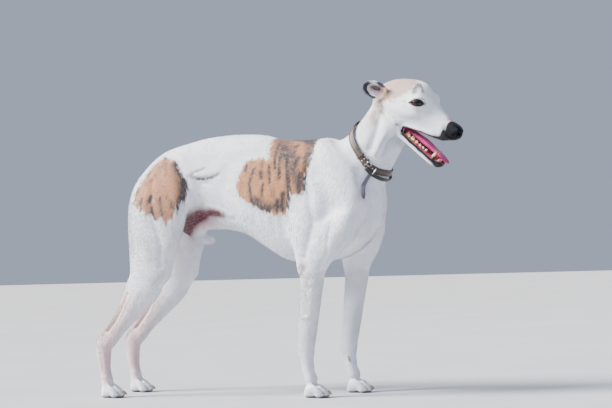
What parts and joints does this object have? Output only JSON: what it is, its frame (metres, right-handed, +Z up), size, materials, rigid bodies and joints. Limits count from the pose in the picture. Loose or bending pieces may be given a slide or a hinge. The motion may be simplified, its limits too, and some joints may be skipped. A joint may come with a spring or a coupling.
{
  "type": "standing greyhound model",
  "caption": "Life-size still model of a standing short-coated greyhound with open mouth, wearing a plain leather collar.",
  "frame": {"origin": "on the floor, under the middle of the whole model's box", "axes": "+X forward from tail to nose, +Y towards the dog's left side, +Z up"},
  "size_m": [1.1106, 0.2452, 0.8588],
  "materials": {
    "coat": "short flat fur, white with fawn and brindle patches",
    "nose_skin": "moist black pebbled skin",
    "mouth": "wet pink skin with black lips and ivory teeth",
    "eye": "glossy dark brown eye",
    "collar_leather": "worn brown leather",
    "collar_steel": "worn nickel-plated steel"
  },
  "bodies": {
    "root": {"head": "coat", "neck": "coat", "torso": "coat", "tail": "coat", "ear_left": "coat", "ear_right": "coat", "upper_arm_right": "coat", "forearm_right": "coat", "forepaw_right": "coat", "thigh_right": "coat", "second_thigh_right": "coat", "rear_pastern_right": "coat", "hindpaw_right": "coat", "upper_arm_left": "coat", "forearm_left": "coat", "forepaw_left": "coat", "thigh_left": "coat", "second_thigh_left": "coat", "rear_pastern_left": "coat", "hindpaw_left": "coat", "nose": "nose_skin", "lower_jaw": "mouth", "tongue": "mouth", "eye_left": "eye", "eye_right": "eye", "collar_band": "collar_leather", "collar_loop": "collar_leather", "collar_strap_end": "collar_leather", "collar_ring": "collar_steel"}
  },
  "joints": []
}
